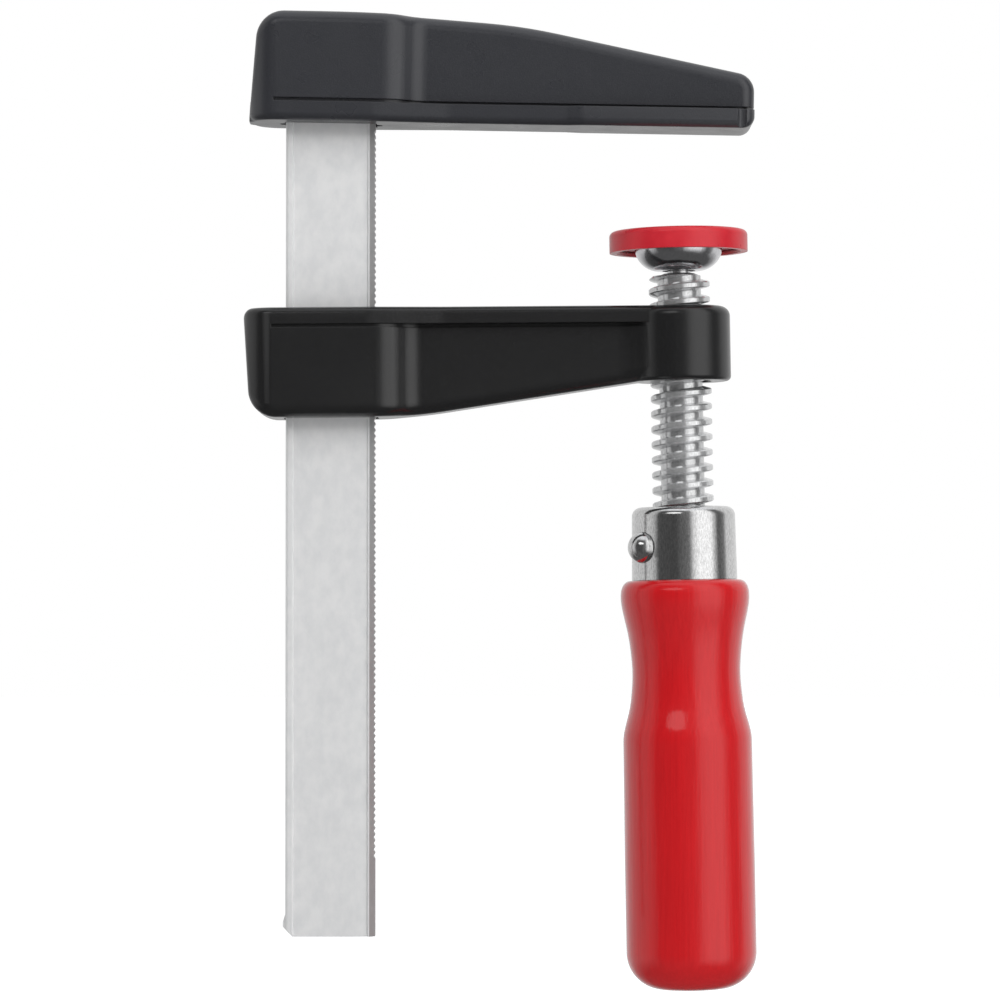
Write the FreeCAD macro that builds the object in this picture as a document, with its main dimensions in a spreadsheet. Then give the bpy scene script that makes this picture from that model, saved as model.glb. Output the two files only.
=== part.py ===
"""Light-duty F clamp, 50 mm throat: rail, two cast jaws, screw with swivel pad and turned handle.

Frame: the origin is on the fixed jaw's clamping face, opposite the pad. +X runs from the rail
towards the jaws' tips, +Z up along the rail. Lengths are millimetres, angles degrees.
"""
import FreeCAD, Part
import math
import os
import re

import Sketcher

V = FreeCAD.Vector
X_AXIS, Y_AXIS, Z_AXIS = V(1, 0, 0), V(0, 1, 0), V(0, 0, 1)
NEAR = 0.05

DIMENSIONS = {
    # rail: flat bar with a shallow recess down both wide faces and teeth on its inner edge
    "rail_x": -57.3,
    "rail_width": 14.6,
    "rail_thickness": 5.0,
    "rail_bottom": -131.5,
    "rail_top": 15.0,
    "rail_edge_radius": 0.5,
    "lip_width": 1.15,
    "lip_slope": 0.15,
    "tooth_bevel": 1.0,
    "recess_depth": 0.35,
    "tooth_pitch": 1.0,
    "tooth_depth": 0.28,
    "tooth_count": 119,
    "anchor_radius": 3.0,
    "anchor_height": 8.5,
    "stop_bulge": 0.4,
    "stop_height": 2.4,
    "end_chamfer": 1.2,
    # both jaws: a head round the rail, a web, and a flange along the clamping side
    "head_half": 7.6,
    "web_half": 4.6,
    "flange_half": 6.3,
    "neck_length": 3.8,
    "neck_radius": 6.0,
    "neck_root_radius": 4.2,
    "flange_neck_start": -3.1,
    "flange_neck_end": 8.9,
    "flange_neck_radius": 12.0,
    "seat_bend_radius": 3.0,
    "head_corner": 5.0,
    "flange_chamfer": 1.15,
    "groove_start": -66.5,
    "groove_depth": 0.6,
    "groove_height": 0.55,
    "web_round": 2.0,
    "back_corner": 4.6,
    "tip_corner": 2.0,
    "tip_overrun": 2.0,
    "far_back": -110,
    "far_front": 60,
    "far_side": 30,
    # fixed jaw
    "fixed_flange": 3.05,
    "fixed_neck": -46.9,
    "fixed_toe_in": 0.985,
    "fixed_back": -70.6,
    "fixed_head_height": 17.9,
    "fixed_shoulder_x": -49.3,
    "fixed_bend_x": -26.4,
    "fixed_bend_height": 16.4,
    "fixed_tip_x": 11.7,
    "fixed_tip_height": 8.8,
    "shoulder_radius": 300,
    "fixed_bend_radius": 90,
    "fixed_tip_radius": 3.2,
    "fixed_nose_radius": 2.0,
    "seat_start": -19.0,
    "seat_full": -16.4,
    "seat_half": 7.0,
    "seat_web_half": 4.0,
    "seat_round": 0.9,
    "notch_x": 9.6,
    "notch_radius": 0.75,
    "relief_radius": 1.1,
    "relief_depth": 2.5,
    "mouth_gap": 0.2,
    "mouth_height": 3.0,
    # sliding jaw, measured along its own clamping-side face
    "sliding_flange": 2.75,
    "sliding_neck": -47.5,
    "sliding_back": -71.2,
    "sliding_tip_x": -1.0,
    "sliding_head_height": 17.8,
    "sliding_shoulder_x": -44.2,
    "sliding_boss_end": 11.4,
    "sliding_shoulder_radius": 80,
    "sliding_face_slope": 0.59,
    "boss_radius": 8.2,
    "boss_height": 12.2,
    "boss_round": 1.6,
    "boss_rise": 0.38,
    "blend_x": -7.27,
    "blend_radius": 8.0,
    "blend_end_x": -4.24,
    "blend_end_half": 7.05,
    "blend_end_radius": 2.9,
    "slot_left": -65.0,
    "slot_right": -49.5,
    "slot_side_gap": 0.3,
    "arm_x": -0.29,
    "arm_z": -29.3,
    "arm_cock": 1.0,
    # grip pin
    "pin_x": -48.25,
    "pin_z": -14.0,
    "pin_radius": 1.5,
    "pin_length": 9.0,
    "fit_gap": 0.05,
    # screw
    "thread_major": 5.0,
    "thread_root": 3.55,
    "thread_pitch": 2.5,
    "thread_phase": -13.37,
    "thread_top": 5.45,
    "thread_bottom": -33.4,
    "thread_chamfer": 0.55,
    "thread_turns": 18,
    "thread_shoulder": 4.4,
    "groove_root": 0.85,
    "groove_mouth": 1.5,
    "crest_chamfer": 0.18,
    "core_top": 5.85,
    "core_top_radius": 2.6,
    "neck_rise": 6.45,
    "screw_neck_radius": 1.9,
    "nose_radius": 1.5,
    "nose_head_radius": 2.0,
    "nose_head_start": 9.2,
    "nose_dome": 2.95,
    "tang_radius": 4.0,
    "tang_end": -72.0,
    # swivel pad
    "ball_radius": 3.0,
    "ball_centre": 7.7,
    "ball_bottom": 6.5,
    "ball_ledge": 9.15,
    "seat_radius": 3.06,
    "cup_bottom": 6.31,
    "cup_round": 4.0,
    "cup_flat": 3.2,
    "cup_rim_radius": 10.1,
    "cup_rim_bottom": 10.0,
    "disc_bottom": 10.75,
    "disc_top": 11.75,
    "disc_radius": 8.6,
    "cap_bottom": 9.35,
    "cap_top": 12.85,
    "cap_radius": 11.3,
    "cap_wall": 1.15,
    "cap_snap": 0.25,
    "cap_round": 0.9,
    # ferrule, cross pin and handle
    "ferrule_top": -32.3,
    "ferrule_bottom": -44.2,
    "ferrule_top_radius": 8.4,
    "ferrule_bottom_radius": 8.6,
    "ferrule_wall": 0.8,
    "ferrule_round": 1.5,
    "cross_pin_z": -38.9,
    "cross_pin_turn": 215.0,
    "cross_pin_radius": 1.6,
    "cross_head_radius": 2.5,
    "cross_head_base": 8.2,
    "cross_head_rim": 0.8,
    "cross_head_rise": 1.8,
    "cross_tail_base": 8.5,
    "cross_tail_rise": 0.7,
    "handle_neck": 7.55,
    "handle_neck_chamfer": 0.4,
    "handle_bore_end": -72.5,
    "handle_rim": 8.6,
    "handle_shoulder": 10.5,
    "handle_shoulder_z": -46.7,
    "handle_waist": 8.81,
    "handle_waist_z": -59.3,
    "handle_barrel_top": 10.5,
    "handle_barrel_z": -70.6,
    "handle_barrel": 10.6,
    "handle_bottom": -111.1,
    "handle_corner": 6.0,
    "handle_crown": 0.3,
}

doc = FreeCAD.newDocument("f_clamp")
sheet = doc.addObject("Spreadsheet::Sheet", "dims")


def fill_sheet():
    """Puts each driving dimension in a cell of its own, with its name as the alias."""
    for row, (alias, value) in enumerate(DIMENSIONS.items(), start=1):
        sheet.set(f"A{row}", alias)
        sheet.set(f"B{row}", str(value))
        sheet.setAlias(f"B{row}", alias)
    doc.recompute()


def bound(expression):
    """The expression with every alias written as a reference to the sheet."""
    return re.sub(
        r"[a-z_]+", lambda word: f"dims.{word[0]}" if word[0] in DIMENSIONS else word[0], expression
    )


def value(expression):
    """The number that an expression of aliases stands for."""
    return float(sheet.evalExpression(bound(expression)))


def bind(thing, settings):
    """Binds properties of a document object to expressions of the sheet's aliases."""
    for name, expression in settings.items():
        thing.setExpression(name, bound(expression))


# ---------------------------------------------------------------- sketches and features


def new_body(label):
    body = doc.addObject("PartDesign::Body", label)
    body.Label = label
    return body


def sketch_on(body, name, role="XZ_Plane", offset=None):
    """A sketch on one of the body's own origin planes, moved by offset where given."""
    plane = next(item for item in body.Origin.OriginFeatures if item.Role == role)
    sketch = body.newObject("Sketcher::SketchObject", name)
    sketch.AttachmentSupport = [(plane, "")]
    sketch.MapMode = "FlatFace"
    if offset:
        sketch.AttachmentOffset = offset
    return sketch


def lift(height, tilt="0", along="0"):
    """A plane offset: up by height, along X, and turned about Y by tilt degrees."""
    return FreeCAD.Placement(
        V(value(along), 0, value(height)), FreeCAD.Rotation(Y_AXIS, value(tilt))
    )


def pin_down(sketch, kind, element, point, expression):
    """Fixes one coordinate of a sketch point to an expression."""
    number = value(expression)
    if abs(number) < 1e-9:
        axis = -2 if kind == "DistanceX" else -1
        sketch.addConstraint(Sketcher.Constraint("PointOnObject", element, point, axis))
        return
    index = sketch.addConstraint(Sketcher.Constraint(kind, -1, 1, element, point, number))
    sketch.setExpression(f"Constraints[{index}]", bound(expression))


def polygon(sketch, corners):
    """A closed polygon whose corners are pairs of expressions."""
    first = sketch.GeometryCount
    spots = [V(value(x), value(y), 0) for x, y in corners]
    for start, end in zip(spots, spots[1:] + spots[:1]):
        sketch.addGeometry(Part.LineSegment(start, end), False)
    for index, (x, y) in enumerate(corners):
        after = first + (index + 1) % len(corners)
        sketch.addConstraint(Sketcher.Constraint("Coincident", first + index, 2, after, 1))
        pin_down(sketch, "DistanceX", first + index, 1, x)
        pin_down(sketch, "DistanceY", first + index, 1, y)


def rounded(sketch, corners):
    """A closed outline of straight runs joined by tangent arcs; each corner is (x, y, radius)."""
    spots = [V(value(x), value(y), 0) for x, y, _ in corners]
    count = len(corners)
    runs = []
    for index, (_, _, radius) in enumerate(corners):
        spot, size = spots[index], value(radius)
        if size == 0:
            runs.append((spot, None, spot))
            continue
        back = (spots[index - 1] - spot).normalize()
        ahead = (spots[(index + 1) % count] - spot).normalize()
        half = back.getAngle(ahead) / 2
        inward = (back + ahead).normalize()
        centre = spot + inward * (size / math.sin(half))
        reach = size / math.tan(half)
        runs.append((spot + back * reach, centre - inward * size, spot + ahead * reach))
    for index, (start, crown, end) in enumerate(runs):
        if crown:
            sketch.addGeometry(Part.Arc(start, crown, end), False)
        sketch.addGeometry(Part.LineSegment(end, runs[(index + 1) % count][0]), False)


def outline(sketch, stops):
    """A closed outline; a stop is (x, y), or (x, y, via...) for a curve that passes via points.

    One via point gives an arc, more of them a spline.
    """
    spots = [[value(number) for number in stop] for stop in stops]
    here = V(*spots[-1][:2], 0)
    for spot in spots:
        points = [V(*pair, 0) for pair in zip(spot[2::2], spot[3::2])]
        there = V(*spot[:2], 0)
        if len(points) == 1:
            curve = Part.Arc(here, points[0], there)
        elif points:
            curve = Part.BSplineCurve()
            curve.interpolate([here, *points, there])
        else:
            curve = Part.LineSegment(here, there)
        sketch.addGeometry(curve, False)
        here = there


def circle(sketch, x, y, radius):
    index = sketch.addGeometry(Part.Circle(V(value(x), value(y), 0), Z_AXIS, value(radius)), False)
    pin_down(sketch, "DistanceX", index, 3, x)
    pin_down(sketch, "DistanceY", index, 3, y)
    size = sketch.addConstraint(Sketcher.Constraint("Radius", index, value(radius)))
    sketch.setExpression(f"Constraints[{size}]", bound(radius))


def mirrored(corners):
    """Corners on the +Y side, followed by their mirror images in reverse order."""
    return corners + [(x, f"-({y})") for x, y in reversed(corners)]


def pad(body, sketch, length, both_ways=False):
    feature = body.newObject("PartDesign::Pad", f"{sketch.Name}_pad")
    feature.Profile = sketch
    feature.SideType = "Symmetric" if both_ways else "One side"
    bind(feature, {"Length": length})
    doc.recompute()
    return feature


def pocket(body, sketch, length, both_ways=False):
    """Cuts the sketch out of the body, on the side of it that the sketch's normal points to."""
    before = body.Shape.Volume
    feature = body.newObject("PartDesign::Pocket", f"{sketch.Name}_pocket")
    feature.Profile = sketch
    feature.SideType = "Symmetric" if both_ways else "One side"
    feature.Reversed = not both_ways
    bind(feature, {"Length": length})
    doc.recompute()
    if body.Shape.Volume > before - 1e-3:
        raise RuntimeError(f"{feature.Name} cuts nothing")
    return feature


def revolve(body, sketch):
    feature = body.newObject("PartDesign::Revolution", f"{sketch.Name}_turned")
    feature.Profile = sketch
    feature.ReferenceAxis = (sketch, ["V_Axis"])
    feature.Angle = 360
    doc.recompute()
    return feature


def dress(body, kind, name, size, wanted):
    """A Fillet or Chamfer on every edge of the body's tip that wanted() picks."""
    base = body.Tip
    edges = [f"Edge{i}" for i, edge in enumerate(base.Shape.Edges, start=1) if wanted(edge)]
    if not edges:
        raise RuntimeError(f"{body.Label}: no edge for {name}")
    feature = body.newObject(f"PartDesign::{kind}", name)
    feature.Base = (base, edges)
    bind(feature, {"Radius" if kind == "Fillet" else "Size": size})
    doc.recompute()
    if not feature.isValid() or feature.Shape.isNull() or not feature.Shape.isValid():
        raise RuntimeError(f"{body.Label}: {name} failed on {edges}")
    return feature


def middle(edge):
    return edge.valueAt((edge.FirstParameter + edge.LastParameter) / 2)


# ---------------------------------------------------------------- rail


def rail():
    body = new_body("rail")
    side, face = "rail_width / 2", "rail_thickness / 2"
    lip = f"{side} - lip_width"
    foot = f"{lip} - lip_slope"
    floor = f"{face} - recess_depth"
    quarter = [(foot, floor), (lip, face)]
    toothed = quarter + [(f"{side} - tooth_bevel", face), (side, f"{face} - tooth_bevel")]
    plain = [(f"-({x})", y) for x, y in quarter + [(side, face)]]
    section = sketch_on(body, "rail_section", "XY_Plane", lift("rail_bottom"))
    polygon(section, mirrored(toothed) + [(x, f"-({y})") for x, y in plain] + plain[::-1])
    pad(body, section, "rail_top - rail_bottom")
    half = value(side)
    dress(body, "Fillet", "rail_edges", "rail_edge_radius", upright_corners(half, value(face)))
    rail_end(body)
    rail_stop(body)
    rail_anchor(body)
    rail_teeth(body)
    body.Placement.Base = V(value("rail_x"), 0, 0)
    return body


def upright_corners(x, y):
    """Picks the long outer corners of the rail's section that have no bevel."""

    def wanted(edge):
        spot = middle(edge)
        long_edge = edge.Length > 0.9 * value("rail_top - rail_bottom")
        return long_edge and abs(abs(spot.x) - x) < NEAR and abs(abs(spot.y) - y) < NEAR

    return wanted


def rail_end(body):
    """The free end's outer corner, cut off at 45 degrees."""
    edge = "-rail_width / 2"
    corner = sketch_on(body, "rail_end")
    polygon(
        corner,
        [
            (f"{edge} - 1", "rail_bottom + end_chamfer + 1"),
            (f"{edge} - 1", "rail_bottom - 1"),
            (f"{edge} + end_chamfer + 1", "rail_bottom - 1"),
        ],
    )
    pocket(body, corner, "rail_thickness + 2", both_ways=True)


def rail_stop(body):
    """The end corner spread outward, so that the jaw can't slide off the rail."""
    edge = "-rail_width / 2"
    low = "rail_bottom + end_chamfer"
    stop = sketch_on(body, "rail_stop")
    polygon(
        stop,
        [
            (f"{edge} + 1", f"{low} + stop_height"),
            (edge, f"{low} + stop_height"),
            (f"{edge} - stop_bulge", f"{low} + stop_height / 2"),
            (f"{edge} - stop_bulge", f"{low} + stop_bulge"),
            (edge, low),
            (f"{edge} + 1", low),
        ],
    )
    pad(body, stop, "rail_thickness - 2 * rail_edge_radius", both_ways=True)


def rail_anchor(body):
    """The hole that the fixed jaw's casting runs through."""
    hole = sketch_on(body, "rail_anchor")
    circle(hole, "0", "anchor_height", "anchor_radius")
    pocket(body, hole, "rail_thickness + 2", both_ways=True)


def rail_teeth(body):
    """Fine V notches down the inner narrow edge."""
    edge = "rail_width / 2"
    notch = sketch_on(body, "rail_tooth")
    polygon(
        notch,
        [
            (f"{edge} - tooth_depth", "-tooth_pitch / 2"),
            (f"{edge} + tooth_depth", "0.4 * tooth_pitch"),
            (f"{edge} + tooth_depth", "-1.4 * tooth_pitch"),
        ],
    )
    cut = pocket(body, notch, "rail_thickness + 2", both_ways=True)
    row = body.newObject("PartDesign::LinearPattern", "rail_teeth")
    row.Originals = [cut]
    row.Direction = (notch, ["V_Axis"])
    row.Reversed = True
    bind(row, {"Length": "tooth_pitch * (tooth_count - 1)", "Occurrences": "tooth_count"})
    body.Tip = row
    doc.recompute()


# ---------------------------------------------------------------- jaws


def side_solid(body, name, corners):
    """The jaw's side outline, as thick as its head."""
    outline = sketch_on(body, name)
    rounded(outline, corners)
    pad(body, outline, "2 * head_half", both_ways=True)
    return outline


def two_sided(corners):
    """An outline's +Y side, followed by its mirror image."""
    return corners + [(x, f"-({y})", radius) for x, y, radius in reversed(corners)]


def trim(body, name, start, depth, outline):
    """Cuts away everything outside a plan outline, over one layer of the jaw's height."""
    sketch = sketch_on(body, name, "XY_Plane", lift(start))
    polygon(sketch, mirrored([("far_back", "far_side"), ("far_front", "far_side")]))
    rounded(sketch, two_sided(outline))
    return pocket(body, sketch, depth)


def undercut(body, name, start, depth, outline):
    """As trim, but the layer starts where the outline does and leaves what is behind it."""
    begin = outline[0][0]
    sketch = sketch_on(body, name, "XY_Plane", lift(start))
    frame = [("far_front", "-far_side", "0"), ("far_front", "far_side", "0")]
    rounded(
        sketch,
        two_sided(outline) + [(begin, "-far_side", "0")] + frame + [(begin, "far_side", "0")],
    )
    return pocket(body, sketch, depth)


def plan(prefix, arm_half, end, inset="0"):
    """Plan outline of head, neck, arm and the arm's end, drawn in by inset: its +Y side."""
    neck = f"{prefix}_neck - {inset} / 2"
    corners = [
        (f"{prefix}_back", "head_half", "head_corner"),
        (neck, "head_half", "neck_radius"),
        (f"{neck} + neck_length", arm_half, "neck_root_radius"),
        *end,
    ]
    return [(x, f"{half} - {inset}", radius) for x, half, radius in corners]


def flange_plan(prefix, end):
    """As plan, for the flange, whose neck is longer and gentler."""
    return [
        (f"{prefix}_back", "head_half", "head_corner"),
        (f"{prefix}_neck + flange_neck_start", "head_half", "flange_neck_radius"),
        (f"{prefix}_neck + flange_neck_end", "flange_half", "flange_neck_radius"),
        *end,
    ]


def along_outline(wire, tip):
    """Picks a jaw's edges that follow its side outline, above the flange and behind its tip."""

    def wanted(edge):
        spot = middle(edge)
        low = spot.z < value("fixed_flange + groove_height")
        if low or abs(spot.y) < 2 or spot.x > value(tip) - NEAR:
            return False
        return wire.distToShape(Part.Vertex(V(spot.x, 0, spot.z)))[0] < NEAR / 2

    return wanted


def on_clamping_face(edge):
    low = all(abs(vertex.Point.z) < NEAR / 2 for vertex in edge.Vertexes)
    return low and abs(middle(edge).y) > 2


def jaw(body, prefix, side_corners, web_end, flange):
    """Head, web, flange and the groove between them, with the clamping face at height 0."""
    side = side_solid(body, f"{prefix}_side", side_corners)
    top = f"{prefix}_flange"
    trim(body, f"{prefix}_web", top, "40", plan(prefix, "web_half", web_end))
    dress(body, "Fillet", f"{prefix}_rim", "web_round", along_outline(side.Shape, web_end[-1][0]))
    trim(body, f"{prefix}_flange", "-1", f"{top} + 1", flange)
    inner = plan(prefix, "web_half", web_end, "groove_depth")
    inner[0] = ("groove_start", "head_half - groove_depth", "0")
    undercut(body, f"{prefix}_groove", top, "groove_height", inner)
    dress(body, "Fillet", f"{prefix}_low_edge", "flange_chamfer", on_clamping_face)


def fixed_jaw():
    body = new_body("fixed_jaw")
    head = "fixed_head_height"
    side = [
        ("fixed_back", "0", "0"),
        ("fixed_tip_x", "0", "fixed_nose_radius"),
        ("fixed_tip_x", "fixed_tip_height", "fixed_tip_radius"),
        ("fixed_bend_x", "fixed_bend_height", "fixed_bend_radius"),
        ("fixed_shoulder_x", head, "shoulder_radius"),
        ("fixed_back + 1.3", head, "back_corner"),
    ]
    seat = [
        ("seat_start", "flange_half", "seat_bend_radius"),
        ("seat_full", "seat_half", "seat_bend_radius"),
        ("fixed_tip_x", "seat_half", "tip_corner"),
    ]
    web_end = [("fixed_tip_x + tip_overrun", "web_half", "tip_corner")]
    jaw(body, "fixed", side, web_end, flange_plan("fixed", seat))
    cap_seat(body)
    rail_socket(body)
    body.Placement.Rotation = FreeCAD.Rotation(Y_AXIS, value("fixed_toe_in"))
    return body


def cap_seat(body):
    """The groove round the tip and the two notches that a clip-on cap holds on to."""
    groove = [
        ("seat_start", "flange_half", "0"),
        ("seat_full", "seat_web_half", "tip_corner"),
        ("fixed_tip_x - seat_round", "seat_web_half", "tip_corner"),
    ]
    undercut(body, "fixed_seat", "fixed_flange", "groove_height", groove)
    notch = sketch_on(body, "fixed_notch", "XY_Plane", lift("-1"))
    circle(notch, "notch_x", "seat_half", "notch_radius")
    circle(notch, "notch_x", "-seat_half", "notch_radius")
    pocket(body, notch, "fixed_flange + 1")


def rail_socket(body):
    """The socket for the rail's top end, its two reliefs and the casting's plug through it."""
    tilt = "-fixed_toe_in"
    height, along = "rail_x * sin(fixed_toe_in)", "rail_x * cos(fixed_toe_in)"
    socket = sketch_on(body, "fixed_socket", "XY_Plane", lift(height, tilt, along))
    half, side = "rail_width / 2", "rail_thickness / 2"
    polygon(socket, mirrored([(f"-{half}", side), (half, side)]))
    pocket(body, socket, "rail_top")
    mouth = sketch_on(body, "fixed_mouth", "XY_Plane", lift(height, tilt, along))
    wide, deep = f"{half} + mouth_gap", f"{side} + mouth_gap"
    polygon(mouth, mirrored([(f"-({wide})", deep), (wide, deep)]))
    pocket(body, mouth, "mouth_height")
    relief = sketch_on(body, "fixed_relief", "XY_Plane", lift(height, tilt, along))
    circle(relief, half, "0", "relief_radius")
    circle(relief, f"-{half}", "0", "relief_radius")
    pocket(body, relief, "relief_depth + 1")
    plug = sketch_on(body, "fixed_plug")
    circle(
        plug,
        "rail_x * cos(fixed_toe_in) - anchor_height * sin(fixed_toe_in)",
        "rail_x * sin(fixed_toe_in) + anchor_height * cos(fixed_toe_in)",
        "anchor_radius",
    )
    pad(body, plug, "rail_thickness + 1", both_ways=True)


def arm_frame():
    """Where the pieces on the sliding jaw sit: Z along the screw, 0 at the boss's upper face."""
    return FreeCAD.Placement(
        V(value("arm_x"), 0, value("arm_z")), FreeCAD.Rotation(Y_AXIS, -value("arm_cock"))
    )


def sliding_jaw():
    """Modelled upside down, with the clamping side at height 0, and turned over at the end."""
    body = new_body("sliding_jaw")
    head = "sliding_head_height"
    side = [
        ("sliding_back", "0", "boss_round"),
        ("sliding_tip_x", "0", "0"),
        ("sliding_tip_x", "sliding_boss_end", "0"),
        ("sliding_shoulder_x", head, "sliding_shoulder_radius"),
        ("sliding_back + 1.05", head, "back_corner"),
    ]
    flare = [
        ("blend_x", "web_half", "blend_radius"),
        ("blend_end_x", "blend_end_half", "blend_end_radius"),
        ("sliding_tip_x", "blend_end_half", "0"),
    ]
    straight = [("sliding_tip_x", "flange_half", "0")]
    jaw(body, "sliding", side, flare, flange_plan("sliding", straight))
    boss(body)
    rail_slot(body)
    turned_over = FreeCAD.Placement(V(0, 0, 0), FreeCAD.Rotation(X_AXIS, 180))
    slope = FreeCAD.Rotation(Y_AXIS, value("sliding_face_slope"))
    sloped = FreeCAD.Placement(V(0, 0, value("boss_rise")), slope)
    body.Placement = arm_frame() * sloped * turned_over
    return body


def boss(body):
    """The round boss, parallel to the screw, with a plain bore for it."""
    tilt = FreeCAD.Placement(
        V(0, 0, 0), FreeCAD.Rotation(Z_AXIS, -value("sliding_face_slope"))
    )
    profile = sketch_on(body, "boss_profile", offset=tilt)
    rounded(
        profile,
        [
            ("0", "0", "0"),
            ("boss_radius", "0", "boss_round"),
            ("boss_radius", "boss_height", "boss_round / 2"),
            ("0", "boss_height", "0"),
        ],
    )
    revolve(body, profile)
    bore = sketch_on(body, "boss_bore", "XY_Plane", lift("0", "sliding_face_slope"))
    circle(bore, "0", "0", "thread_major + fit_gap")
    pocket(body, bore, "4 * boss_height", both_ways=True)


def rail_slot(body):
    """The slot for the rail and the blind cross hole for the grip pin."""
    slope = "sliding_face_slope"
    slot = sketch_on(body, "rail_slot", "XY_Plane", lift("0", slope))
    side = "rail_thickness / 2 + slot_side_gap"
    polygon(slot, mirrored([("slot_left", side), ("slot_right", side)]))
    pocket(body, slot, "60", both_ways=True)
    hole = sketch_on(body, "grip_pin_hole")
    drop = "(boss_rise - pin_z)"
    circle(
        hole,
        f"pin_x * cos({slope}) + {drop} * sin({slope})",
        f"{drop} * cos({slope}) - pin_x * sin({slope})",
        "pin_radius + fit_gap",
    )
    pocket(body, hole, "pin_length + 2 * fit_gap", both_ways=True)


def grip_pin():
    body = new_body("grip_pin")
    section = sketch_on(body, "grip_pin_section")
    circle(section, "0", "0", "pin_radius")
    pad(body, section, "pin_length", both_ways=True)
    at_pin = FreeCAD.Placement(V(value("pin_x"), 0, value("pin_z")), FreeCAD.Rotation())
    body.Placement = arm_frame() * at_pin
    return body


# ---------------------------------------------------------------- screw


def threaded_blank():
    """The screw's outer cylinder with the thread's groove cut out of it."""
    blank = new_body("spindle_blank")
    profile = sketch_on(blank, "blank_profile")
    polygon(
        profile,
        [
            ("0", "thread_bottom"),
            ("thread_major", "thread_bottom"),
            ("thread_major", "thread_top - thread_chamfer"),
            ("thread_shoulder", "thread_top"),
            ("thread_root", "thread_top"),
            ("core_top_radius", "core_top"),
            ("0", "core_top"),
        ],
    )
    revolve(blank, profile)
    groove = thread_groove()
    cut = doc.addObject("Part::Cut", "spindle_thread")
    cut.Base, cut.Tool = blank, groove
    doc.recompute()
    return cut


def thread_groove():
    """The groove as a solid, swept along one helix edge per turn."""
    helix = doc.addObject("Part::Helix", "thread_helix")
    bind(
        helix,
        {
            "Pitch": "thread_pitch",
            "Height": "thread_pitch * thread_turns",
            "Radius": "thread_major",
            ".Placement.Base.z": "thread_phase - 9.5 * thread_pitch",
        },
    )
    helix.SegmentLength = 1
    section = doc.addObject("Sketcher::SketchObject", "groove_section")
    section.Placement.Rotation = FreeCAD.Rotation(X_AXIS, 90)
    start = "thread_phase - 9.5 * thread_pitch"
    upper = [
        ("thread_root", f"{start} + groove_root / 2"),
        ("thread_major - crest_chamfer", f"{start} + groove_mouth / 2"),
        ("thread_major + crest_chamfer", f"{start} + groove_mouth / 2 + 2 * crest_chamfer"),
    ]
    lower = [(x, z.replace(" + g", " - g").replace(" + 2", " - 2")) for x, z in reversed(upper)]
    polygon(section, upper + lower)
    doc.recompute()
    sweep = doc.addObject("Part::Sweep", "thread_groove")
    sweep.Sections = [section]
    sweep.Spine = (helix, [f"Edge{i}" for i in range(1, len(helix.Shape.Edges) + 1)])
    sweep.Solid = True
    sweep.Frenet = True
    doc.recompute()
    return sweep


def spindle():
    body = new_body("spindle")
    body.BaseFeature = threaded_blank()
    doc.recompute()
    nose = sketch_on(body, "spindle_nose")
    dome = "sqrt(nose_dome ^ 2 - nose_head_radius ^ 2)"
    outline(
        nose,
        [
            ("0", "core_top - 1"),
            ("screw_neck_radius", "core_top - 1"),
            ("screw_neck_radius", "neck_rise"),
            ("nose_radius", "neck_rise"),
            ("nose_radius", "nose_head_start"),
            ("nose_head_radius", "nose_head_start"),
            ("nose_head_radius", f"ball_centre + {dome}"),
            ("0", "ball_centre + nose_dome", *on_circle("0", "ball_centre", "nose_dome", 70)),
        ],
    )
    revolve(body, nose)
    tang = sketch_on(body, "spindle_tang", "XY_Plane", lift("tang_end"))
    circle(tang, "0", "0", "tang_radius")
    pad(body, tang, "thread_bottom - tang_end + 1")
    cross_hole(body, "spindle_cross_hole", "cross_pin_radius + fit_gap")
    body.Placement = arm_frame()
    return body


def on_circle(x, y, radius, degrees):
    """The point of a circle at that angle, as a pair of expressions."""
    return f"{x} + {radius} * cos({degrees})", f"{y} + {radius} * sin({degrees})"


def dome(half, base, rise):
    """A point halfway down a spherical cap that stands on base and rises round the axis."""
    wide, high = value(half), value(rise)
    radius = (wide**2 + high**2) / (2 * high)
    lean = math.asin(wide / abs(radius)) / 2
    centre = value(base) + high - radius
    return str(abs(radius) * math.sin(lean)), str(centre + radius * math.cos(lean))


def turned(label, stops):
    """A body turned about the screw's axis."""
    body = new_body(label)
    profile = sketch_on(body, f"{label}_profile")
    outline(profile, stops)
    revolve(body, profile)
    body.Placement = arm_frame()
    return body


def cross_plane(distance):
    """A plane across the cross pin, that far from the screw's axis towards the pin's head."""
    turn = math.radians(value("cross_pin_turn"))
    return FreeCAD.Placement(
        V(distance * math.sin(turn), value("cross_pin_z"), distance * math.cos(turn)),
        FreeCAD.Rotation(Y_AXIS, value("cross_pin_turn")),
    )


def cross_hole(body, name, radius):
    hole = sketch_on(body, name, "YZ_Plane", cross_plane(0))
    circle(hole, "0", "0", radius)
    pocket(body, hole, "4 * handle_barrel", both_ways=True)


# ---------------------------------------------------------------- swivel pad


def swivel_ball():
    bottom = "sqrt(ball_radius ^ 2 - (ball_centre - ball_bottom) ^ 2)"
    mouth = "nose_head_radius + fit_gap"
    top = f"ball_centre + sqrt(ball_radius ^ 2 - ({mouth}) ^ 2)"
    return turned(
        "swivel_ball",
        [
            ("nose_radius + fit_gap", "ball_bottom"),
            (bottom, "ball_bottom"),
            (mouth, top, "ball_radius", "ball_centre"),
            (mouth, "ball_ledge"),
            ("nose_radius + fit_gap", "ball_ledge"),
        ],
    )


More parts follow.
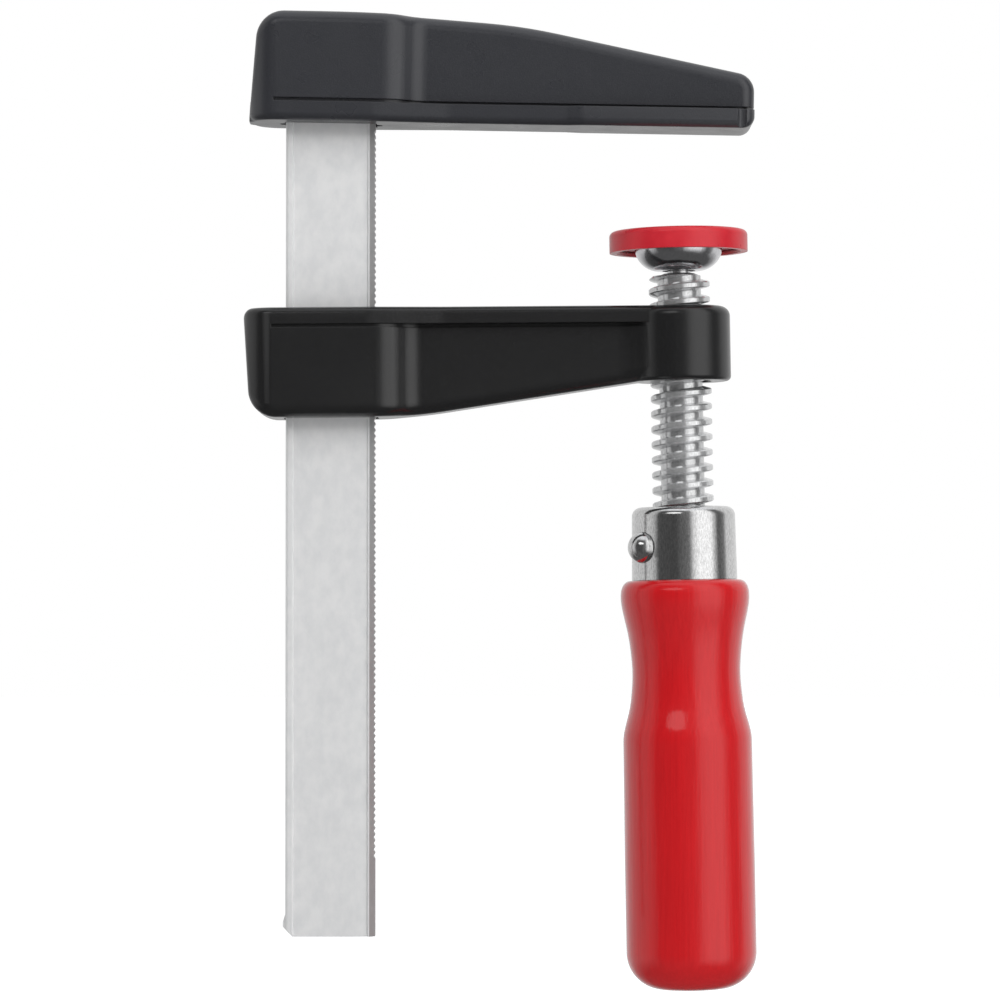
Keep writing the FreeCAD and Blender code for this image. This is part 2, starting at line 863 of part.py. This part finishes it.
def swivel_cup():
    mouth = "sqrt(seat_radius ^ 2 - (ball_centre - cup_bottom) ^ 2)"
    bend = "cup_bottom + cup_round"
    wall = f"cup_flat + sqrt(cup_round ^ 2 - ({bend} - cup_rim_bottom) ^ 2)"
    return turned(
        "swivel_cup",
        [
            (mouth, "cup_bottom", *on_circle("0", "ball_centre", "seat_radius", -14)),
            ("cup_flat", "cup_bottom"),
            (wall, "cup_rim_bottom", *on_circle("cup_flat", bend, "cup_round", -45)),
            ("cup_rim_radius", "cup_rim_bottom"),
            ("cup_rim_radius", "disc_top"),
            ("disc_radius", "disc_top"),
            ("disc_radius", "disc_bottom"),
            ("seat_radius", "disc_bottom"),
            ("seat_radius", "ball_centre"),
        ],
    )


def pressure_disc():
    corners = [("0", "disc_bottom"), ("disc_radius", "disc_bottom")]
    return turned("pressure_disc", corners + [("disc_radius", "disc_top"), ("0", "disc_top")])


def pad_cap():
    inside, lip = "cap_radius - cap_wall", "cup_rim_bottom - fit_gap"
    floor = "disc_top + fit_gap"
    rim = "cap_radius - cap_round", "cap_top - cap_round"
    return turned(
        "pad_cap",
        [
            ("0", floor),
            (inside, floor),
            (inside, lip),
            (f"{inside} - cap_snap", lip),
            (f"{inside} - cap_snap", f"{lip} - cap_snap"),
            (inside, f"{lip} - 2 * cap_snap"),
            (inside, "cap_bottom"),
            ("cap_radius", "cap_bottom"),
            ("cap_radius", rim[1]),
            (rim[0], "cap_top", *on_circle(*rim, "cap_round", 45)),
            ("0", "cap_top"),
        ],
    )


# ---------------------------------------------------------------- ferrule, cross pin and handle


def ferrule():
    body = new_body("ferrule")
    profile = sketch_on(body, "ferrule_profile")
    inner_top = "ferrule_top - ferrule_wall"
    rounded(
        profile,
        [
            ("thread_major + fit_gap", "ferrule_top", "0"),
            ("ferrule_top_radius", "ferrule_top", "ferrule_round"),
            ("ferrule_bottom_radius", "ferrule_bottom", "0"),
            ("ferrule_bottom_radius - ferrule_wall", "ferrule_bottom", "0"),
            ("ferrule_top_radius - ferrule_wall", inner_top, "ferrule_round - ferrule_wall"),
            ("thread_major + fit_gap", inner_top, "0"),
        ],
    )
    revolve(body, profile)
    cross_hole(body, "ferrule_cross_hole", "cross_pin_radius + fit_gap")
    seat = sketch_on(body, "ferrule_seat", "YZ_Plane", cross_plane(value("cross_head_base")))
    circle(seat, "0", "0", "cross_head_radius + fit_gap")
    pocket(body, seat, "handle_barrel")
    body.Placement = arm_frame()
    return body


def cross_pin():
    """Modelled along Z with its domed head up."""
    rim, tail = "cross_head_base + cross_head_rim", "-cross_tail_base"
    body = turned(
        "cross_pin",
        [
            ("cross_pin_radius", "cross_head_base"),
            ("cross_head_radius", "cross_head_base"),
            ("cross_head_radius", rim),
            ("0", f"{rim} + cross_head_rise", *dome("cross_head_radius", rim, "cross_head_rise")),
            ("0", f"{tail} - cross_tail_rise"),
            ("cross_pin_radius", tail, *dome("cross_pin_radius", tail, "-cross_tail_rise")),
        ],
    )
    lie = FreeCAD.Rotation(Z_AXIS, value("cross_pin_turn")) * FreeCAD.Rotation(Y_AXIS, 90)
    at_pin = FreeCAD.Placement(V(0, 0, value("cross_pin_z")), lie)
    body.Placement = arm_frame() * at_pin
    return body


def handle():
    bore, top = "tang_radius + fit_gap", "thread_bottom - fit_gap"
    rim = "ferrule_bottom - fit_gap"
    foot = "handle_bottom + handle_crown"
    corner = f"{foot} + handle_corner"
    flat = "handle_barrel - handle_corner"
    body = turned(
        "handle",
        [
            ("0", "handle_bore_end"),
            (bore, "handle_bore_end"),
            (bore, top),
            ("handle_neck - handle_neck_chamfer", top),
            ("handle_neck", f"{top} - handle_neck_chamfer"),
            ("handle_neck", rim),
            ("handle_rim", rim),
            ("handle_barrel_top", "handle_barrel_z", *handle_curve()),
            ("handle_barrel", "handle_barrel_z - 20"),
            ("handle_barrel", corner),
            (flat, foot, *on_circle(flat, corner, "handle_corner", -45)),
            ("0", "handle_bottom", *dome(flat, foot, "-handle_crown")),
        ],
    )
    cross_hole(body, "handle_cross_hole", "cross_pin_radius + fit_gap")
    return body


def handle_curve():
    """Points of the turned curve from the ferrule's end, over the shoulder, to the barrel."""
    swell, waist = "handle_shoulder - handle_waist", "handle_waist"
    fall = "(handle_shoulder_z - handle_waist_z)"
    climb = "(handle_waist_z - handle_barrel_z)"
    return (
        *("0.95 * handle_shoulder", "handle_shoulder_z + 1.85"),
        *("0.99 * handle_shoulder", "handle_shoulder_z + 0.9"),
        *("handle_shoulder", "handle_shoulder_z"),
        *(f"{waist} + 0.84 * ({swell})", f"handle_shoulder_z - 0.2 * {fall}"),
        *(f"{waist} + 0.43 * ({swell})", f"handle_shoulder_z - 0.45 * {fall}"),
        *(f"{waist} + 0.11 * ({swell})", f"handle_shoulder_z - 0.75 * {fall}"),
        *(waist, "handle_waist_z"),
        *(f"{waist} + 0.09 * ({swell})", f"handle_waist_z - 0.255 * {climb}"),
        *(f"{waist} + 0.38 * ({swell})", f"handle_waist_z - 0.547 * {climb}"),
        *(f"{waist} + 0.87 * ({swell})", f"handle_waist_z - 0.829 * {climb}"),
        *(f"{waist} + 0.965 * ({swell})", f"handle_waist_z - 0.91 * {climb}"),
    )


def main():
    fill_sheet()
    parts = [rail(), fixed_jaw(), grip_pin(), sliding_jaw(), swivel_ball(), spindle()]
    parts += [ferrule(), cross_pin(), handle(), swivel_cup(), pressure_disc(), pad_cap()]
    finish(parts)


def finish(parts):
    """Checks every object and writes one file per part."""
    doc.recompute()
    bad = [item.Name for item in doc.Objects if {"Invalid", "Error"} & set(item.State)]
    if bad:
        raise RuntimeError(f"failed objects: {bad}")
    os.makedirs("parts", exist_ok=True)
    for part in parts:
        shape = part.Shape
        if shape.isNull() or not shape.isValid() or not shape.Solids:
            raise RuntimeError(f"{part.Label} has no valid solid")
        shape.exportStep(f"parts/{part.Label}.step")
        box = shape.BoundBox
        size = f"{box.XLength:.2f} x {box.YLength:.2f} x {box.ZLength:.2f}"
        print(f"{part.Label}: {size} mm, {shape.Volume:.1f} mm3, {len(shape.Solids)} solid(s)")


main()
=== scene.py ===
"""F clamp: surfaces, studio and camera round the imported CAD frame. Lengths are metres."""
import math

import bpy
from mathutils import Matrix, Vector

MM = 0.001
AIM = (-0.03, 0, -0.05)  # middle of the clamp, which the lamps point at
RAMP_RANGE = 2.0  # a colour ramp stops at one, so the studio's levels are held divided by this
FLOOR_HALF, FLOOR_LEVEL = 12.0, -0.30
EDGE_BAND_TONE = (0.42, 0.42, 0.42, 1)
STUDIO_BANDS = [  # (azimuth in degrees, level), 0 towards the camera and 90 to its right
    (-180, 0.75), (-115, 0.66), (-84, 0.66), (-72, 0.52), (-60, 0.08), (-20, 0.07), (-8, 0.13),
    (8, 0.17), (23, 1.0), (31, 1.25), (60, 1.25), (70, 0.55), (79, 0.11), (95, 0.18),
    (108, 0.75), (180, 0.85),
]

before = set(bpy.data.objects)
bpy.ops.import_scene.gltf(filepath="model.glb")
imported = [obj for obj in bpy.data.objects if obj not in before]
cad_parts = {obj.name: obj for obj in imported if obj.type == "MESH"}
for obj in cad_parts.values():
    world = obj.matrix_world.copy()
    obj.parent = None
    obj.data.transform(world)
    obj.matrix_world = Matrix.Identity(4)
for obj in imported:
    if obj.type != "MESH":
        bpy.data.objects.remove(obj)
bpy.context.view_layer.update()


# ---------------------------------------------------------------- node helpers


def node(tree, kind, inputs=None, **settings):
    """Adds a shader node; an input is a value, or another node's output socket to link."""
    made = tree.nodes.new(f"ShaderNode{kind}")
    for name, setting in settings.items():
        setattr(made, name, setting)
    for name, given in (inputs or {}).items():
        if isinstance(given, bpy.types.NodeSocket):
            tree.links.new(given, made.inputs[name])
        else:
            made.inputs[name].default_value = given
    return made


def surface(name, **values):
    """A new material: its tree and its Principled shader, with the given inputs set."""
    material = bpy.data.materials.new(name)
    material.use_nodes = True
    tree = material.node_tree
    shader = tree.nodes["Principled BSDF"]
    for key, value in values.items():
        shader.inputs[key.replace("_", " ").title().replace("Ior", "IOR")].default_value = value
    return material, tree, shader


def place(tree, stretch=(1, 1, 1), turn=(0, 0, 0)):
    """Object coordinates in millimetres, stretched per axis so that features lengthen."""
    coordinates = node(tree, "TexCoord").outputs["Object"]
    scale = tuple(1 / MM / s for s in stretch)
    mapping = {"Vector": coordinates, "Scale": scale, "Rotation": turn}
    return node(tree, "Mapping", mapping).outputs["Vector"]


def noise(tree, vector, size, detail=2.0, roughness=0.5):
    """Noise whose features are about size millimetres across."""
    wanted = {"Vector": vector, "Scale": 1 / size, "Detail": detail, "Roughness": roughness}
    return node(tree, "TexNoise", wanted).outputs["Fac"]


def spread(tree, factor, low, high, start=0.3, end=0.7):
    """Maps a factor to the range low..high."""
    wanted = {
        "Value": factor, "From Min": start, "From Max": end, "To Min": low, "To Max": high
    }
    return node(tree, "MapRange", wanted).outputs["Result"]


def tint(tree, factor, first, second):
    """A colour between first and second."""
    mix = node(tree, "Mix", data_type="RGBA")
    tree.links.new(factor, mix.inputs["Factor"])
    mix.inputs[6].default_value = (*first, 1)
    mix.inputs[7].default_value = (*second, 1)
    return mix.outputs[2]


def bumps(tree, shader, *layers, soften=0.0):
    """Chains bump layers of (height, distance in millimetres, strength) over rounded edges."""
    normal = None
    if soften:
        bevel = node(tree, "Bevel", {"Radius": soften * MM}, samples=4)
        normal = bevel.outputs["Normal"]
    for height, distance, strength in layers:
        wanted = {"Height": height, "Distance": distance * MM, "Strength": strength}
        if normal:
            wanted["Normal"] = normal
        normal = node(tree, "Bump", wanted).outputs["Normal"]
    tree.links.new(normal, shader.inputs["Normal"])


# ---------------------------------------------------------------- materials


def black_coat(name, colour, rough):
    """Satin black powder coat, roughness about rough, with orange peel, dust specks and a painted
    edge highlight that lightens convex edges.
    """
    material, tree, shader = surface(name, specular_ior_level=0.6)
    grain = place(tree)
    peel = noise(tree, grain, 0.22, 2.0)
    flow = noise(tree, grain, 3.5, 2.0)
    cloud = noise(tree, grain, 5.0, 2.0)
    dust = noise(tree, grain, 0.18, 3.0, 0.7)
    edge = node(tree, "NewGeometry").outputs["Pointiness"]
    # Painted edge highlight: the base colour turns lighter on convex edges (high pointiness).
    edge_sheen = spread(tree, edge, 0.0, 1.0, 0.53, 0.62)
    powdered = spread(tree, dust, 0.0, 0.5, 0.50, 0.80)
    # Lighter base colour where there is dust or a painted edge highlight.
    dust_and_edge_sheen = node(tree, "Math", {0: edge_sheen, 1: powdered}, operation="MAXIMUM").outputs[0]
    shade = tint(tree, dust_and_edge_sheen, colour, tuple(level + 0.024 for level in colour))
    tree.links.new(shade, shader.inputs["Base Color"])
    gloss = spread(tree, cloud, rough - 0.04, rough + 0.04, 0.1, 0.9)
    tree.links.new(gloss, shader.inputs["Roughness"])
    bumps(tree, shader, (flow, 0.10, 0.25), (peel, 0.03, 0.6), soften=0.20)
    return material


def rail_zinc():
    """Satin zinc plate on drawn bar: faint lines, cool blotches, a darker toothed bevel."""
    material, tree, shader = surface("rail_zinc", metallic=0.35)
    lines = noise(tree, place(tree, (1, 1, 90)), 0.22, 3.0)
    blotch = noise(tree, place(tree, (1, 1, 1.6)), 1.6, 4.0, 0.6)
    speck = noise(tree, place(tree), 0.35, 2.0)
    patches = spread(tree, blotch, 0, 1, 0.35, 0.65)
    colour = tint(tree, patches, (0.78, 0.785, 0.79), (0.84, 0.84, 0.84))
    across = node(tree, "SeparateXYZ", {"Vector": place(tree)}).outputs["X"]
    # A darker band along the rail's toothed edge, the last millimetre at its highest x.
    edge = max(vertex.co.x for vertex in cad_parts["rail"].data.vertices) / MM
    edge_band = spread(tree, across, 0.0, 1.0, edge - 1.05, edge - 0.85)
    edge_banded = node(tree, "Mix", {"Factor": edge_band}, data_type="RGBA", blend_type="MULTIPLY")
    tree.links.new(colour, edge_banded.inputs[6])
    edge_banded.inputs[7].default_value = EDGE_BAND_TONE
    tree.links.new(edge_banded.outputs[2], shader.inputs["Base Color"])
    tree.links.new(spread(tree, blotch, 0.40, 0.50), shader.inputs["Roughness"])
    bumps(tree, shader, (lines, 0.015, 0.25), (speck, 0.012, 0.3), soften=0.12)
    return material


def machined(name, colour, rough, ring, metal=1.0, dark=0.80, grit=0.004):
    """Bright plated steel: fine marks round its axis, an upright mottle and a light grit."""
    material, tree, shader = surface(name, metallic=metal)
    rings = noise(tree, place(tree, (ring, ring, 1)), 0.10, 3.0)
    stain = noise(tree, place(tree, (1, 1, 3)), 0.22, 4.0, 0.7)
    speck = noise(tree, place(tree), 0.35, 3.0, 0.6)
    shade = tuple(dark * level for level in colour)
    mixed = tint(tree, spread(tree, stain, 0, 1, 0.35, 0.65), shade, colour)
    tree.links.new(mixed, shader.inputs["Base Color"])
    tree.links.new(spread(tree, speck, rough * 0.75, rough * 1.35), shader.inputs["Roughness"])
    bumps(tree, shader, (rings, 0.003, 0.2), (speck, grit, 0.3), soften=0.05)
    return material


def red_lacquer():
    """Thick glossy red lacquer over turned hardwood, whose grain prints through."""
    material, tree, shader = surface(
        "red_lacquer", roughness=0.35, specular_ior_level=0.2,
        coat_weight=1.0, coat_roughness=0.06, coat_ior=1.42,
    )
    grain = noise(tree, place(tree, (1, 1, 26)), 0.42, 4.0, 0.6)
    pores = noise(tree, place(tree, (1, 1, 12)), 0.20, 2.0)
    waves = noise(tree, place(tree, (1, 1, 4)), 4.5, 2.0)
    shade = spread(tree, grain, 0.0, 1.0, 0.3, 0.7)
    colour = tint(tree, shade, (0.520, 0.0050, 0.0085), (0.590, 0.0068, 0.0105))
    tree.links.new(colour, shader.inputs["Base Color"])
    bumps(tree, shader, (waves, 0.25, 0.30), (grain, 0.045, 0.45), (pores, 0.02, 0.25))
    coat = node(tree, "Bump", {"Height": grain, "Distance": 0.045 * MM, "Strength": 0.6})
    swell = {"Height": waves, "Distance": 0.2 * MM, "Strength": 0.3, "Normal": coat.outputs[0]}
    tree.links.new(node(tree, "Bump", swell).outputs[0], shader.inputs["Coat Normal"])
    return material


def red_plastic():
    """Moulded red polyethylene, semi-gloss with faint moulding mottle."""
    material, tree, shader = surface(
        "red_plastic", roughness=0.32, subsurface_weight=0.06, subsurface_scale=0.6 * MM
    )
    cloud = noise(tree, place(tree), 3.0, 3.0)
    fine = noise(tree, place(tree), 0.3, 2.0)
    colour = tint(tree, spread(tree, cloud, 0, 1), (0.53, 0.014, 0.026), (0.60, 0.019, 0.032))
    tree.links.new(colour, shader.inputs["Base Color"])
    tree.links.new(spread(tree, cloud, 0.27, 0.37), shader.inputs["Roughness"])
    bumps(tree, shader, (cloud, 0.08, 0.3), (fine, 0.01, 0.25), soften=0.15)
    return material


def dress_nodes():
    """Gives each CAD node its finished material, with smooth shading kept as packed."""
    finishes = {
        "rail": rail_zinc(),
        # Both jaws share one black coat: the fixed jaw's lighter, bluish base colour is painted
        # light and a painted bluish reflection.
        "fixed_jaw": black_coat("fixed_coat_painted_light", (0.027, 0.028, 0.033), 0.29),
        "sliding_jaw": black_coat("sliding_coat", (0.0105, 0.0105, 0.0108), 0.22),
        "grip_pin": machined("hard_steel", (0.45, 0.45, 0.46), 0.30, 1),
        "spindle": machined("screw_steel", (0.84, 0.845, 0.85), 0.14, 12, 0.74, 0.70, 0.012),
        "ferrule": machined("bright_plate", (0.84, 0.84, 0.84), 0.14, 14, 1.0, 0.66),
        "swivel_cup": machined("pad_steel", (0.74, 0.74, 0.76), 0.15, 14),
        "handle": red_lacquer(),
        "pad_cap": red_plastic(),
    }
    same = {
        "swivel_ball": "grip_pin",
        "cross_pin": "ferrule",
        "pressure_disc": "swivel_cup",
    }
    for name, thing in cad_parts.items():
        thing.data.materials.clear()
        thing.data.materials.append(finishes[same.get(name, name)])


# ---------------------------------------------------------------- studio and camera


def studio_world():
    """Soft studio surroundings: bright overhead, a tall soft box on the right, darker bands."""
    world = bpy.data.worlds.new("studio")
    bpy.context.scene.world = world
    world.use_nodes = True
    tree = world.node_tree
    tree.nodes.clear()
    direction = node(tree, "TexCoord").outputs["Generated"]
    parts = node(tree, "SeparateXYZ", {"Vector": direction})
    forward = node(tree, "Math", {0: parts.outputs["Y"], 1: -1.0}, operation="MULTIPLY")
    turn = node(
        tree, "Math", {0: parts.outputs["X"], 1: forward.outputs[0]}, operation="ARCTAN2"
    )
    around = node(
        tree, "MapRange",
        {"Value": turn.outputs[0], "From Min": -math.pi, "From Max": math.pi},
    )
    bands = ramp(tree, around.outputs["Result"], STUDIO_BANDS)
    up = parts.outputs["Z"]
    height = node(tree, "MapRange", {"Value": up, "From Min": 0.70, "From Max": 0.92})
    height.interpolation_type = "SMOOTHSTEP"
    low = node(tree, "MapRange", {"Value": up, "From Min": -0.22, "From Max": -0.60})
    upper = node(tree, "Mix", data_type="RGBA")
    tree.links.new(height.outputs["Result"], upper.inputs["Factor"])
    tree.links.new(bands, upper.inputs[6])
    upper.inputs[7].default_value = (0.92, 0.93, 0.95, 1)
    whole = node(tree, "Mix", data_type="RGBA")
    tree.links.new(low.outputs["Result"], whole.inputs["Factor"])
    tree.links.new(upper.outputs[2], whole.inputs[6])
    whole.inputs[7].default_value = (0.10, 0.10, 0.10, 1)
    lit = node(tree, "Background", {"Color": whole.outputs[2], "Strength": 1.0})
    plain = node(tree, "Background", {"Color": (1, 1, 1, 1), "Strength": 1.0})
    seen = node(tree, "LightPath").outputs["Is Camera Ray"]
    both = node(tree, "MixShader", {0: seen})
    tree.links.new(lit.outputs[0], both.inputs[1])
    tree.links.new(plain.outputs[0], both.inputs[2])
    out = node(tree, "OutputWorld")
    tree.links.new(both.outputs[0], out.inputs["Surface"])


def ramp(tree, factor, stops):
    """Grey levels by azimuth in degrees, held divided by RAMP_RANGE and multiplied back."""
    made = node(tree, "ValToRGB", {"Fac": factor})
    made.color_ramp.interpolation = "EASE"
    elements = made.color_ramp.elements
    while len(elements) < len(stops):
        elements.new(0.5)
    for element, (degrees, level) in zip(elements, stops):
        element.position = (degrees + 180) / 360
        held = level / RAMP_RANGE
        element.color = (held, held, held, 1)
    scale = node(tree, "Mix", data_type="RGBA", blend_type="MULTIPLY")
    scale.inputs["Factor"].default_value = 1.0
    tree.links.new(made.outputs["Color"], scale.inputs[6])
    scale.inputs[7].default_value = (RAMP_RANGE, RAMP_RANGE, RAMP_RANGE, 1)
    return scale.outputs[2]


def floor():
    """A wide pale floor below the clamp."""
    turns = ((-1, -1), (1, -1), (1, 1), (-1, 1))
    corners = [(x * FLOOR_HALF, y * FLOOR_HALF, FLOOR_LEVEL) for x, y in turns]
    mesh = bpy.data.meshes.new("floor")
    mesh.from_pydata(corners, [], [(0, 1, 2, 3)])
    ground = bpy.data.objects.new("floor", mesh)
    bpy.context.collection.objects.link(ground)
    material, tree, shader = surface(
        "floor_white", base_color=(0.80, 0.80, 0.80, 1), roughness=0.9, emission_color=(1, 1, 1, 1)
    )
    seen = node(tree, "LightPath").outputs["Is Camera Ray"]
    glow = node(tree, "Math", {0: seen, 1: 0.55}, operation="MULTIPLY")
    tree.links.new(glow.outputs[0], shader.inputs["Emission Strength"])
    mesh.materials.append(material)
    ground.visible_glossy = False


def area_light(name, place_at, aim, size, power):
    """A rectangular lamp at place_at that faces aim; size in metres, power in watts."""
    data = bpy.data.lights.new(name, "AREA")
    data.shape, data.size, data.size_y = "RECTANGLE", size[0], size[1]
    data.energy = power
    lamp = bpy.data.objects.new(name, data)
    lamp.location = place_at
    lamp.rotation_euler = (Vector(aim) - Vector(place_at)).to_track_quat("-Z", "Y").to_euler()
    bpy.context.collection.objects.link(lamp)
    return lamp


def camera():
    """A long lens level with the top of the handle, tipped up a little."""
    data = bpy.data.cameras.new("camera")
    data.sensor_width = 36.0
    data.lens = 162.0
    data.clip_start, data.clip_end = 0.05, 60.0
    eye = Vector((-29.67, -735.0, -80.1)) * MM
    thing = bpy.data.objects.new("camera", data)
    thing.location = eye
    thing.rotation_euler = (math.radians(90 + 1.53), 0, 0)
    bpy.context.collection.objects.link(thing)
    bpy.context.scene.camera = thing


dress_nodes()
studio_world()
floor()
key = area_light("key", (0.25, -0.9, 0.75), AIM, (1.0, 1.0), 9.0)
key.visible_glossy = False
window = area_light("window", (-0.45, -0.96, 0.50), AIM, (0.75, 0.30), 0.9)
window.data.shape = "ELLIPSE"
camera()
bpy.context.scene.view_settings.view_transform = "Standard"
